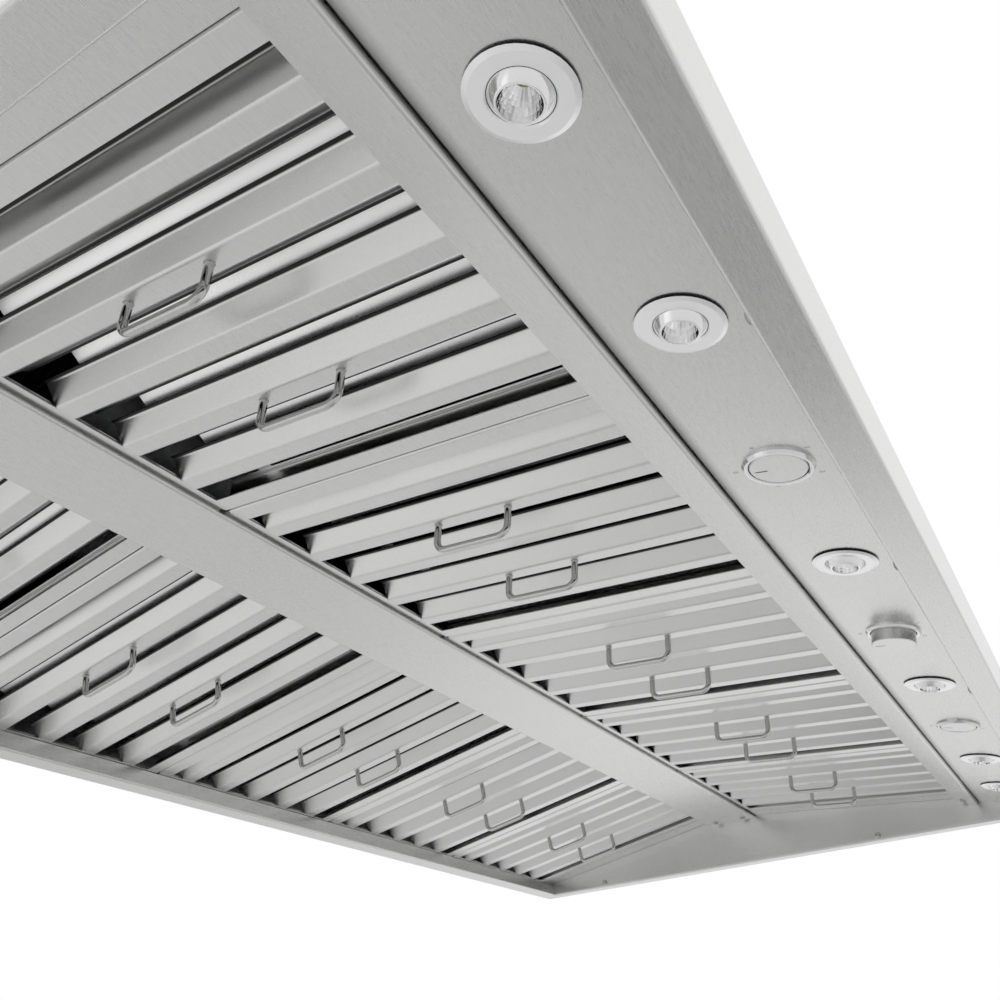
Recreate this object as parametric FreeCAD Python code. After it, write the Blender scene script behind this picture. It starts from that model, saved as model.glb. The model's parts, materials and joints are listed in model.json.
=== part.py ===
import FreeCAD, Part
import math
import os

from FreeCAD import Vector

# Wall mount range hood, in millimetres.
# The model is drawn with x across the wall, y from the outer front edge towards the wall
# and z up from the underside of the rim. Every piece is moved on saving so that the
# origin is the middle of the wall screw pattern on the back face.

# Overall size
WIDTH = 1524.0
DEPTH = 832.0
HEIGHT = 457.0
APRON = 76.0
TOP_DEPTH = 330.0

# Sheet metal
SHEET = 1.2
BEND = 1.2
SEAM = 0.2
FIT = 0.3

# Rim, folded inwards from every outer panel
RIM_WIDTH = 25.4
RIM_LIP = 13.1

# Control strip behind the front rim
STRIP_REAR = 101.5
STRIP_REAR_Z = 29.5
STRIP_RISE = 0.8
STRIP_FLANGE = 24.0
ITEM_PITCH = 156.8
ITEM_SETBACK = 34.5
ITEM_PATTERN = "LLKLKLKLL"

# Rails that carry the filters
FRONT_RAIL_DROP = 6.3
FRONT_RAIL_REACH = 30.3
FRONT_RAIL_RISE = 14.7
CENTER_RAIL_Z = 66.4
CENTER_RAIL_WIDTH = 79.6
CENTER_FRONT_LIP = 6.1
CENTER_REAR_LIP = 4.8
GUTTER_LIP_Z = 17.6
GUTTER_BACK = 60.0
RAIL_TAB = 24.0
TAB_INSET = 6.0
FRONT_SCREW_BACK = 18.0
CENTER_SCREW_SPACING = 45.0

# Baffle filters
FILTER_COUNT = 5
FILTER_PITCH = 282.0
FILTER_GAP = 1.0
FILTER_HEIGHT = 24.8
FRONT_OVERLAP = 12.7
REAR_OVERLAP = 4.3
BAFFLE_SHEET = 0.8
BAFFLE_BEND = 2.6
BAFFLE_COUNT = 5
BAFFLE_PITCH = 50.0
BAFFLE_FLAT = 13.6
BAFFLE_WIDTH = 34.4
BAFFLE_DEPTH = 12.0
BAFFLE_LIP = 2.5
UPPER_FLAT = 6.0
UPPER_WIDTH = 23.4
UPPER_DEPTH = 5.2
UPPER_SETBACK = 32.0
SIDE_FLANGE = 15.5
SIDE_TOP = 4.0
END_FLANGE = 6.8
END_RISE = 2.4
FRAME_BEND = 1.4
HOOK_GAP = 1.8
HOOK_ROOT = 5.0
HOOK_REACH = 6.5
STRAP = 12.0

# Filter handles
HANDLE_SPAN = 60.0
HANDLE_DROP = 24.0
HANDLE_WIRE = 5.2
HANDLE_CORNER = 8.0

# Lamps in the strip
LAMP_HOLE = 36.0
TRIM_OUTER = 47.0
TRIM_INNER = 28.0
TRIM_HEIGHT = 2.2
TRIM_EDGE = 1.2
TRIM_BEVEL = 2.4
TRIM_LIP = 0.8
NOSE_DIAMETER = 20.0
NOSE_HEIGHT = 5.6
NOSE_WALL = 0.8
CUP_DEPTH = 9.0
CUP_FLOOR = 9.0
EMITTER_THICK = 1.5
CAN_DIAMETER = 40.0
CAN_HEIGHT = 44.0
CAN_WALL = 1.5

# Push-push knobs in the strip
KNOB_HOLE = 38.0
BEZEL_OUTER = 45.0
BEZEL_INNER = 37.2
BEZEL_HEIGHT = 3.0
BEZEL_EDGE = 1.2
BEZEL_BEVEL = 1.5
BEZEL_LIP = 0.8
KNOB_DIAMETER = 36.0
KNOB_SKIRT = 11.0
KNOB_WALL = 1.6
KNOB_SINK = 0.4
KNOB_CHAMFER = 0.6
KNOB_POP = 10.0
KNOB_OUT = 2
STEM_DIAMETER = 8.0
STEM_RUN = 0.05
HUB_DIAMETER = 14.0
SWITCH_SIZE = 32.0
SWITCH_HEIGHT = 30.0
SWITCH_CUP = 26.0
SWITCH_WALL = 2.4
MARK_LENGTH = 8.0
MARK_WIDTH = 1.2
MARK_DEPTH = 0.4
MARK_INSET = 3.0

# Inner end liners and the fillers beside the filters
LINER_TOP = 112.0
LINER_EDGE = 4.0
FILLER_LEG = 16.0

# Blowers, one each side
BLOWER_X = 380.0
BLOWER_AXIS_BACK = 186.0
BLOWER_AXIS_Z = 296.0
BLOWER_WIDTH = 200.0
SCROLL_START = 112.0
SCROLL_END = 166.0
SCROLL_ARCS = 3
OUTLET_DEPTH = 200.0
OUTLET_FLANGE = 10.0
INLET_DIAMETER = 160.0
WHEEL_DIAMETER = 196.0
WHEEL_WIDTH = 160.0
WHEEL_BLADES = 24
WHEEL_PLATE = 2.0
BLADE_DEPTH = 26.0
BLADE_SHEET = 1.0
BLADE_SWEEP = 14.0
BLADE_BOW = 5.0
WHEEL_HUB = 28.0
HUB_LENGTH = 24.0
SHAFT_HOLE = 30.0
MOTOR_DIAMETER = 120.0
MOTOR_LENGTH = 95.0
MOTOR_FLANGE = 8.0
SHAFT_DIAMETER = 12.0
SHAFT_RUN = 0.06

# Duct collars and their butterfly dampers
COLLAR_DIAMETER = 203.0
COLLAR_WALL = 0.9
COLLAR_HEIGHT = 62.0
COLLAR_FLANGE = 16.0
DAMPER_PIN = 5.0
DAMPER_HEIGHT = 30.0
DAMPER_SHEET = 1.0
DAMPER_RUN = 0.08
DAMPER_CLEAR = 3.0
DAMPER_EDGE = 0.6
KNUCKLE_DIAMETER = 8.0
KNUCKLE_LENGTH = 24.0
KNUCKLE_STARTS = (-70.0, 10.0)

# Wall screws, rim screws and electrical boxes
WALL_SPACING_X = 1219.2
WALL_SPACING_Z = 152.4
WALL_HOLE = 8.0
WALL_TOP_MARGIN = 40.0
SCREW_HEAD = 8.6
SCREW_CROWN = 5.4
SCREW_EDGE = 0.9
SCREW_DOME = 2.2
SCREW_SHANK = 4.0
SCREW_LENGTH = 5.5
SCREW_Z = 7.0
END_SCREW_Y = (250.0, 708.0)
KNOCKOUT = 22.2
JUNCTION_SIZE = (120.0, 90.0, 55.0)
DRIVER_SIZE = (150.0, 60.0, 32.0)
DRIVER_EAR = 14.0

# Places worked out from the sizes above
HALF = WIDTH / 2
INNER_X = HALF - RIM_WIDTH + SHEET + SEAM
SPAN_X = INNER_X - SEAM
STRIP_FRONT_Z = RIM_LIP + STRIP_RISE
STRIP_ANGLE = math.atan2(STRIP_REAR_Z - STRIP_FRONT_Z, STRIP_REAR - RIM_WIDTH)
STRIP_OUT = Vector(0, math.sin(STRIP_ANGLE), -math.cos(STRIP_ANGLE))
RAIL_FRONT = STRIP_REAR + SEAM
RAIL_REAR = RAIL_FRONT + FRONT_RAIL_REACH
RAIL_FRONT_Z = STRIP_REAR_Z - FRONT_RAIL_DROP
RAIL_REAR_Z = RAIL_FRONT_Z + FRONT_RAIL_RISE
RAIL_TILT = math.atan2(FRONT_RAIL_RISE, FRONT_RAIL_REACH)
GUTTER_FRONT = DEPTH - RIM_WIDTH + SHEET + SEAM

# Filter beds: both rows have one length, and the center rail stands halfway
FRONT_SEAT_Y = RAIL_REAR - SHEET * math.sin(RAIL_TILT)
FRONT_SEAT_Z = RAIL_REAR_Z + SHEET * math.cos(RAIL_TILT)
ROW_RUN = (GUTTER_FRONT + SHEET - FRONT_SEAT_Y - CENTER_RAIL_WIDTH) / 2
CENTER_FRONT = FRONT_SEAT_Y + ROW_RUN
CENTER_REAR = CENTER_FRONT + CENTER_RAIL_WIDTH
HOOK_RISE = END_RISE + SEAM
HOOK_SEAT_Z = CENTER_RAIL_Z + CENTER_FRONT_LIP - HOOK_RISE
REAR_SEAT_Z = CENTER_RAIL_Z + CENTER_REAR_LIP
FRONT_SLOPE = math.degrees(math.atan2(HOOK_SEAT_Z - FRONT_SEAT_Z, ROW_RUN))
REAR_SLOPE = math.degrees(math.atan2(GUTTER_LIP_Z - REAR_SEAT_Z, ROW_RUN))
FILTER_LENGTH = ROW_RUN / math.cos(math.radians(FRONT_SLOPE)) + FRONT_OVERLAP - HOOK_GAP
FILTER_WIDTH = FILTER_PITCH - FILTER_GAP
FRAME_CORNER = FRAME_BEND + BAFFLE_SHEET

CANOPY_RUN = DEPTH - TOP_DEPTH
CANOPY_SLOPE = (HEIGHT - APRON) / CANOPY_RUN
WALL_Z = HEIGHT - WALL_TOP_MARGIN - WALL_SPACING_Z / 2
ORIGIN = Vector(0, DEPTH, WALL_Z)
BLOWER_AXIS_Y = DEPTH - BLOWER_AXIS_BACK
OUTLET_BACK = BLOWER_AXIS_Y + SCROLL_END
COLLAR_Y = OUTLET_BACK - OUTLET_DEPTH / 2


def turn_left(direction):
    return (-direction[1], direction[0])


def sheet_edges(path, offset, thickness, bend):
    """One side of a folded sheet as lines and arcs, at an offset to the left of its path."""
    edges = []
    here = None
    for index, point in enumerate(path):
        before = path[index - 1] if index else None
        after = path[index + 1] if index + 1 < len(path) else None
        steps = []
        for start, end in ((before, point), (point, after)):
            if start and end:
                length = math.dist(start, end)
                steps.append(((end[0] - start[0]) / length, (end[1] - start[1]) / length))
        if len(steps) == 1:
            side = turn_left(steps[0])
            spot = (point[0] + side[0] * offset, point[1] + side[1] * offset)
            if here:
                edges.append((here, spot))
            here = spot
            continue
        first, second = steps
        cross = first[0] * second[1] - first[1] * second[0]
        angle = math.atan2(cross, first[0] * second[0] + first[1] * second[1])
        hand = 1 if angle > 0 else -1
        reach = bend + thickness if hand > 0 else bend
        radius = reach - hand * offset
        back = reach * math.tan(abs(angle) / 2)
        side = turn_left(first)
        start = (point[0] - first[0] * back, point[1] - first[1] * back)
        centre = (start[0] + side[0] * reach * hand, start[1] + side[1] * reach * hand)
        spots = []
        for share in (0, 0.5, 1):
            swing = math.atan2(-side[1] * hand, -side[0] * hand) + angle * share
            spots.append((centre[0] + radius * math.cos(swing), centre[1] + radius * math.sin(swing)))
        edges.append((here, spots[0]))
        edges.append(tuple(spots))
        here = spots[2]
    return edges


def folded_sheet(path, thickness, bend, plane, start, length):
    """A sheet folded along a path in the yz or xz plane, lying to the left of the path."""
    def place(spot):
        if plane == "yz":
            return Vector(start, spot[0], spot[1])
        return Vector(spot[0], start, spot[1])

    right = sheet_edges(path, 0, thickness, bend)
    left = [tuple(reversed(edge)) for edge in reversed(sheet_edges(path, thickness, thickness, bend))]
    outline = right + [(right[-1][-1], left[0][0])] + left + [(left[-1][-1], right[0][0])]
    curves = []
    for edge in outline:
        spots = [place(spot) for spot in edge]
        curve = Part.LineSegment(*spots) if len(spots) == 2 else Part.Arc(*spots)
        curves.append(curve.toShape())
    sweep = Vector(length, 0, 0) if plane == "yz" else Vector(0, length, 0)
    return Part.Face(Part.Wire(curves)).extrude(sweep)


def prism(points, sweep):
    return Part.Face(Part.makePolygon(points + points[:1])).extrude(sweep)


def block(low, high):
    return Part.makeBox(high[0] - low[0], high[1] - low[1], high[2] - low[2], Vector(*low))


def turned(profile, centre, axis):
    """A solid of revolution: radius and distance along the axis for each corner."""
    points = [Vector(radius, 0, along) for radius, along in profile]
    solid = Part.Face(Part.makePolygon(points + points[:1])).revolve(Vector(0, 0, 0), Vector(0, 0, 1), 360)
    solid.Placement = FreeCAD.Placement(centre, FreeCAD.Rotation(Vector(0, 0, 1), axis))
    return solid


def rod(centre, axis, diameter, length):
    return Part.makeCylinder(diameter / 2, length, centre, axis)


def mirrored(shape):
    return shape.mirror(Vector(0, 0, 0), Vector(1, 0, 0))


def strip_point(x, along, out=0.0):
    """A point on the strip's lower face, measured back from the rim's inner edge."""
    y = RIM_WIDTH + along * math.cos(STRIP_ANGLE)
    z = STRIP_FRONT_Z + along * math.sin(STRIP_ANGLE)
    return Vector(x, y, z) + STRIP_OUT * out


def strip_items(kind):
    middle = (len(ITEM_PATTERN) - 1) / 2
    return [(index - middle) * ITEM_PITCH for index, mark in enumerate(ITEM_PATTERN) if mark == kind]


def screw_places():
    """Each visible screw: the point under its head and the way the head faces."""
    places = []
    lamps = strip_items("L")
    for x in (lamps[1], lamps[2], lamps[3], lamps[4]):
        places.append((Vector(x, RIM_WIDTH, SCREW_Z), Vector(0, 1, 0)))
    tilt = RAIL_TILT
    rail_out = Vector(0, math.sin(tilt), -math.cos(tilt))
    middle = CENTER_FRONT + CENTER_RAIL_WIDTH / 2
    for side in (-1, 1):
        for y in END_SCREW_Y:
            places.append((Vector(side * (HALF - RIM_WIDTH), y, SCREW_Z), Vector(-side, 0, 0)))
        x = side * (SPAN_X - RAIL_TAB / 2)
        for y in (middle - CENTER_SCREW_SPACING / 2, middle + CENTER_SCREW_SPACING / 2):
            places.append((Vector(x, y, CENTER_RAIL_Z), Vector(0, 0, -1)))
        rise = FRONT_SCREW_BACK * math.tan(tilt)
        places.append((Vector(x, RAIL_FRONT + FRONT_SCREW_BACK, RAIL_FRONT_Z + rise), rail_out))
    return places


def drilled(shape):
    """A sheet with a clearance hole for every screw that meets it."""
    drills = []
    for point, out in screw_places():
        drill = rod(point + out, out * -1, SCREW_SHANK + SEAM, SCREW_LENGTH + 2)
        if drill.BoundBox.intersect(shape.BoundBox):
            drills.append(drill)
    return shape.cut(drills) if drills else shape


def screws():
    """Pan head screws, each turned from one profile."""
    head, crown, shank = SCREW_HEAD / 2, SCREW_CROWN / 2, SCREW_SHANK / 2
    profile = [(0, -SCREW_LENGTH), (shank, -SCREW_LENGTH), (shank, 0), (head, 0), (head, SCREW_EDGE),
               (crown, SCREW_DOME), (0, SCREW_DOME)]
    return [turned(profile, point, out) for point, out in screw_places()]


def mitre_cut(corner_x, inner_y, outer_y):
    """The wedge taken off the end of a rim so that it meets its neighbour at 45 degrees."""
    side = 1 if corner_x > 0 else -1
    near = corner_x - side * (SHEET + SEAM)
    far = corner_x - side * RIM_WIDTH
    edge = outer_y + math.copysign(SHEET, inner_y - outer_y)
    beyond = inner_y + math.copysign(1, inner_y - outer_y)
    inside, outside = far - side * SEAM, corner_x + side
    corners = [(near, edge), (inside, inner_y), (inside, beyond), (outside, beyond), (outside, edge)]
    return prism([Vector(x, y, -1) for x, y in corners], Vector(0, 0, RIM_LIP + 2))


def front_panel():
    start = -HALF + SHEET
    path = [(CANOPY_RUN, HEIGHT - SHEET), (0, APRON), (0, 0), (RIM_WIDTH, 0), (RIM_WIDTH, RIM_LIP)]
    panel = folded_sheet(path, SHEET, BEND, "yz", start, WIDTH - 2 * SHEET)
    cuts = [mitre_cut(side * HALF, RIM_WIDTH, 0) for side in (-1, 1)]
    return drilled(panel.cut(cuts))


def back_panel():
    start = -HALF + SHEET
    path = [(DEPTH - RIM_WIDTH, RIM_LIP), (DEPTH - RIM_WIDTH, 0), (DEPTH, 0), (DEPTH, HEIGHT - SHEET)]
    panel = folded_sheet(path, SHEET, BEND, "yz", start, WIDTH - 2 * SHEET)
    cuts = [mitre_cut(side * HALF, DEPTH - RIM_WIDTH, DEPTH) for side in (-1, 1)]
    for side in (-1, 1):
        for level in (-1, 1):
            spot = Vector(side * WALL_SPACING_X / 2, DEPTH - 10, WALL_Z + level * WALL_SPACING_Z / 2)
            cuts.append(rod(spot, Vector(0, 1, 0), WALL_HOLE, 20))
    return panel.cut(cuts)


def end_panel():
    """The right end; the left one is its mirror image."""
    foot = BEND + 2 * SHEET
    outline = [(0, foot), (0, APRON), (CANOPY_RUN, HEIGHT), (DEPTH, HEIGHT), (DEPTH, foot)]
    sheet = prism([Vector(HALF, y, z) for y, z in outline], Vector(-SHEET, 0, 0))
    path = [(HALF - RIM_WIDTH, RIM_LIP), (HALF - RIM_WIDTH, 0), (HALF, 0), (HALF, foot)]
    rim = folded_sheet(path, SHEET, BEND, "xz", 0, DEPTH)
    wedges = []
    for outer, inner in ((0, RIM_WIDTH), (DEPTH, DEPTH - RIM_WIDTH)):
        way = math.copysign(1, inner - outer)
        near, far = HALF - SHEET, HALF - RIM_WIDTH - 1
        corners = [(near, outer), (near, outer + way * SHEET), (far, inner + way), (far, outer)]
        wedges.append(prism([Vector(x, y, -1) for x, y in corners], Vector(0, 0, RIM_LIP + 2)))
    return drilled(sheet.fuse(rim.cut(wedges)).removeSplitter())


def top_panel():
    low = (-HALF + SHEET, CANOPY_RUN, HEIGHT - SHEET)
    panel = block(low, (HALF - SHEET, DEPTH, HEIGHT))
    holes = [rod(Vector(side * BLOWER_X, COLLAR_Y, HEIGHT - 10), Vector(0, 0, 1), COLLAR_DIAMETER, 20)
             for side in (-1, 1)]
    holes.append(rod(Vector(0, junction_y(), HEIGHT - 10), Vector(0, 0, 1), KNOCKOUT, 20))
    return panel.cut(holes)


def end_liner():
    """The right inner wall above the rim, with the tabs that the rails are screwed to."""
    shoulder = (LINER_TOP - APRON) / CANOPY_SLOPE + 3 * SHEET + LINER_EDGE
    foot = SHEET + BEND + SEAM
    rear = DEPTH - SHEET - SEAM
    outline = [(LINER_EDGE, foot), (LINER_EDGE, APRON - LINER_EDGE), (shoulder, LINER_TOP),
               (rear, LINER_TOP), (rear, foot)]
    wall = prism([Vector(INNER_X, y, z) for y, z in outline], Vector(SHEET, 0, 0))
    roof = block((INNER_X, shoulder, LINER_TOP - SHEET), (HALF - SHEET - SEAM, rear, LINER_TOP))
    middle = CENTER_FRONT + CENTER_RAIL_WIDTH / 2
    reach = CENTER_RAIL_WIDTH / 2 - TAB_INSET
    level = CENTER_RAIL_Z + SHEET + SEAM
    tab = block((INNER_X - RAIL_TAB, middle - reach, level),
                (INNER_X + SHEET, middle + reach, level + SHEET))
    tilt = RAIL_TILT
    lift = Vector(0, -math.sin(tilt), math.cos(tilt)) * (SHEET + SEAM)
    ends = [Vector(INNER_X - RAIL_TAB, RAIL_FRONT + back, RAIL_FRONT_Z + back * math.tan(tilt)) + lift
            for back in (TAB_INSET, FRONT_RAIL_REACH - TAB_INSET)]
    thick = lift.normalize() * SHEET
    corners = [ends[0], ends[1], ends[1] + thick, ends[0] + thick]
    slant = prism(corners, Vector(RAIL_TAB + SHEET, 0, 0))
    return drilled(wall.fuse([roof, tab, slant]).removeSplitter())


def control_panel():
    lip = RIM_WIDTH - SHEET - SEAM
    lip_z = STRIP_FRONT_Z - (RIM_WIDTH - lip) * math.tan(STRIP_ANGLE)
    path = [(lip, SHEET + BEND + SEAM), (lip, lip_z), (STRIP_REAR, STRIP_REAR_Z),
            (STRIP_REAR, STRIP_REAR_Z + STRIP_FLANGE)]
    panel = folded_sheet(path, SHEET, BEND, "yz", -SPAN_X, 2 * SPAN_X)
    holes = []
    for kind, diameter in (("L", LAMP_HOLE), ("K", KNOB_HOLE)):
        for x in strip_items(kind):
            holes.append(rod(strip_point(x, ITEM_SETBACK, 10), STRIP_OUT * -1, diameter, 20))
    return drilled(panel.cut(holes))


def front_rail():
    path = [(RAIL_FRONT, STRIP_REAR_Z + STRIP_FLANGE), (RAIL_FRONT, RAIL_FRONT_Z), (RAIL_REAR, RAIL_REAR_Z)]
    return drilled(folded_sheet(path, SHEET, BEND, "yz", -SPAN_X, 2 * SPAN_X))


def center_rail():
    path = [(CENTER_FRONT, CENTER_RAIL_Z + CENTER_FRONT_LIP), (CENTER_FRONT, CENTER_RAIL_Z),
            (CENTER_REAR, CENTER_RAIL_Z), (CENTER_REAR, REAR_SEAT_Z)]
    return drilled(folded_sheet(path, SHEET, BEND, "yz", -SPAN_X, 2 * SPAN_X))


def rear_gutter():
    floor = SHEET + SEAM
    back = DEPTH - SHEET - SEAM
    path = [(GUTTER_FRONT, GUTTER_LIP_Z), (GUTTER_FRONT, floor), (back, floor), (back, GUTTER_BACK)]
    return folded_sheet(path, SHEET, BEND, "yz", -SPAN_X, 2 * SPAN_X)


def filter_seat(row):
    """Where a filter's front lower edge lies, and how its bed slopes."""
    if row == "front":
        slope, y, z, overlap = FRONT_SLOPE, FRONT_SEAT_Y, FRONT_SEAT_Z, FRONT_OVERLAP
    else:
        slope, y, z, overlap = REAR_SLOPE, CENTER_REAR, REAR_SEAT_Z, REAR_OVERLAP
    tilt = math.radians(slope)
    lift = FIT / math.cos(tilt)
    return slope, Vector(0, y - overlap * math.cos(tilt), z + lift - overlap * math.sin(tilt))


def on_bed(shape, row, x):
    """Lay a piece drawn flat on the filter bed of a row."""
    slope, corner = filter_seat(row)
    laid = shape.copy()
    laid.rotate(Vector(0, 0, 0), Vector(1, 0, 0), slope)
    laid.translate(Vector(x, corner.y, corner.z))
    return laid


def lower_baffle(middle):
    """A channel open upwards, with its long edges turned out, between the two end flanges."""
    foot, top, high = BAFFLE_FLAT / 2, BAFFLE_WIDTH / 2, BAFFLE_DEPTH
    lip = top + BAFFLE_LIP
    path = [(-lip, high), (-top, high), (-foot, 0), (foot, 0), (top, high), (lip, high)]
    path = [(middle + x, z) for x, z in path]
    return folded_sheet(path, BAFFLE_SHEET, BAFFLE_BEND, "xz", END_FLANGE, FILTER_LENGTH - 2 * END_FLANGE)


def upper_baffle(middle, start, length):
    """A shallow channel open downwards that covers the gap between two lower ones."""
    foot, edge, low = UPPER_FLAT / 2, UPPER_WIDTH / 2, FILTER_HEIGHT - UPPER_DEPTH
    path = [(edge, low), (foot, FILTER_HEIGHT), (-foot, FILTER_HEIGHT), (-edge, low)]
    path = [(middle + x, z) for x, z in path]
    return folded_sheet(path, BAFFLE_SHEET, BAFFLE_SHEET, "xz", start, length)


def filter_pan():
    """The welded lower half of a filter: side bars, end flanges and lower baffles in one level."""
    edge = FILTER_WIDTH / 2
    reach = edge - FRAME_CORNER
    length = FILTER_LENGTH
    path = [(edge - SIDE_FLANGE, 0), (edge, 0), (edge, FILTER_HEIGHT), (edge - SIDE_TOP, FILTER_HEIGHT)]
    side = folded_sheet(path, BAFFLE_SHEET, FRAME_BEND, "xz", FRAME_CORNER, length - 2 * FRAME_CORNER)
    front = [(0, END_RISE), (0, 0), (END_FLANGE, 0)]
    rear = [(length - END_FLANGE, 0), (length, 0), (length, END_RISE)]
    pieces = [mirrored(side)]
    for end in (front, rear):
        pieces.append(folded_sheet(end, BAFFLE_SHEET, FRAME_BEND, "yz", -reach, 2 * reach))
    first = -(BAFFLE_COUNT - 1) / 2 * BAFFLE_PITCH
    pieces += [lower_baffle(first + index * BAFFLE_PITCH) for index in range(BAFFLE_COUNT)]
    return side.fuse(pieces).removeSplitter()


def filter_body():
    """One filter lying flat: the pan, the upper baffles under two straps, and the rear hook strip."""
    edge = FILTER_WIDTH / 2
    reach = edge - FRAME_CORNER
    solids = [filter_pan()]
    first = -(BAFFLE_COUNT - 1) / 2 * BAFFLE_PITCH
    upper_start = END_FLANGE
    upper_end = FILTER_LENGTH - UPPER_SETBACK
    for index in range(BAFFLE_COUNT - 1):
        middle = first + (index + 0.5) * BAFFLE_PITCH
        solids.append(upper_baffle(middle, upper_start, upper_end - upper_start))
    for start in (upper_start, upper_end - STRAP):
        low = (-edge, start, FILTER_HEIGHT)
        solids.append(block(low, (edge, start + STRAP, FILTER_HEIGHT + BAFFLE_SHEET)))
    low = (-reach, FILTER_LENGTH - HOOK_ROOT, HOOK_RISE)
    solids.append(block(low, (reach, FILTER_LENGTH + HOOK_REACH, HOOK_RISE + BAFFLE_SHEET)))
    return solids


def handle(middle):
    """A U of round wire welded under a baffle, halfway along the filter."""
    radius = HANDLE_WIRE / 2
    centre = FILTER_LENGTH / 2
    bottom = radius - HANDLE_DROP
    knee = bottom + HANDLE_CORNER
    straight = HANDLE_SPAN / 2 - HANDLE_CORNER
    pieces = []
    for side in (-1, 1):
        foot = Vector(middle, centre + side * HANDLE_SPAN / 2, knee)
        pivot = Vector(middle, centre + side * straight, knee)
        ring = Part.Face(Part.Wire(Part.makeCircle(radius, foot, Vector(0, 0, 1))))
        pieces.append(rod(foot, Vector(0, 0, 1), HANDLE_WIRE, -knee))
        pieces.append(ring.revolve(pivot, Vector(1, 0, 0), -90 * side))
    grip = rod(Vector(middle, centre - straight, bottom), Vector(0, 1, 0), HANDLE_WIRE, 2 * straight)
    return grip.fuse(pieces)


def end_fillers():
    """Angle strips that close the gap between the last filters and the liners."""
    inside = FILTER_COUNT / 2 * FILTER_PITCH
    outside = INNER_X - SEAM
    path = [(inside, 0), (outside, 0), (outside, FILLER_LEG)]
    strip = folded_sheet(path, SHEET, BEND, "xz", 0, FILTER_LENGTH)
    solids = []
    for row in ("front", "rear"):
        solids += [on_bed(strip, row, 0), on_bed(mirrored(strip), row, 0)]
    return solids


def on_strip(profile, kind):
    return [turned(profile, strip_point(x, ITEM_SETBACK), STRIP_OUT) for x in strip_items(kind)]


def lamp_pieces():
    """Trim ring, reflector nose, emitter and can of each lamp, along the way it shines."""
    outer, inner = TRIM_OUTER / 2, TRIM_INNER / 2
    trim = [(inner, 0), (outer, 0), (outer, TRIM_EDGE), (outer - TRIM_BEVEL, TRIM_HEIGHT),
            (inner + TRIM_LIP, TRIM_HEIGHT), (inner, TRIM_HEIGHT - TRIM_LIP)]
    root = inner - SEAM
    tip = NOSE_DIAMETER / 2
    floor = CUP_FLOOR / 2
    nose = [(root, -SHEET), (root, TRIM_HEIGHT - TRIM_LIP), (tip, NOSE_HEIGHT),
            (tip - NOSE_WALL, NOSE_HEIGHT), (floor, -CUP_DEPTH), (floor, -CUP_DEPTH - NOSE_WALL),
            (floor + NOSE_WALL, -CUP_DEPTH - NOSE_WALL), (tip, -SHEET)]
    base = -CUP_DEPTH - NOSE_WALL - SEAM
    emitter = [(0, base), (floor + NOSE_WALL, base), (floor + NOSE_WALL, base - EMITTER_THICK),
               (0, base - EMITTER_THICK)]
    rim, top, post = CAN_DIAMETER / 2, -CAN_HEIGHT, base - EMITTER_THICK - SEAM
    can = [(rim, -SHEET), (rim, top), (0, top), (0, post), (floor + NOSE_WALL, post),
           (floor + NOSE_WALL, top + CAN_WALL), (rim - CAN_WALL, top + CAN_WALL), (rim - CAN_WALL, -SHEET)]
    return on_strip(trim, "L"), on_strip(nose, "L"), on_strip(emitter, "L"), on_strip(can, "L")


def knob_out(number):
    return KNOB_POP if number == KNOB_OUT else 0.0


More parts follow.
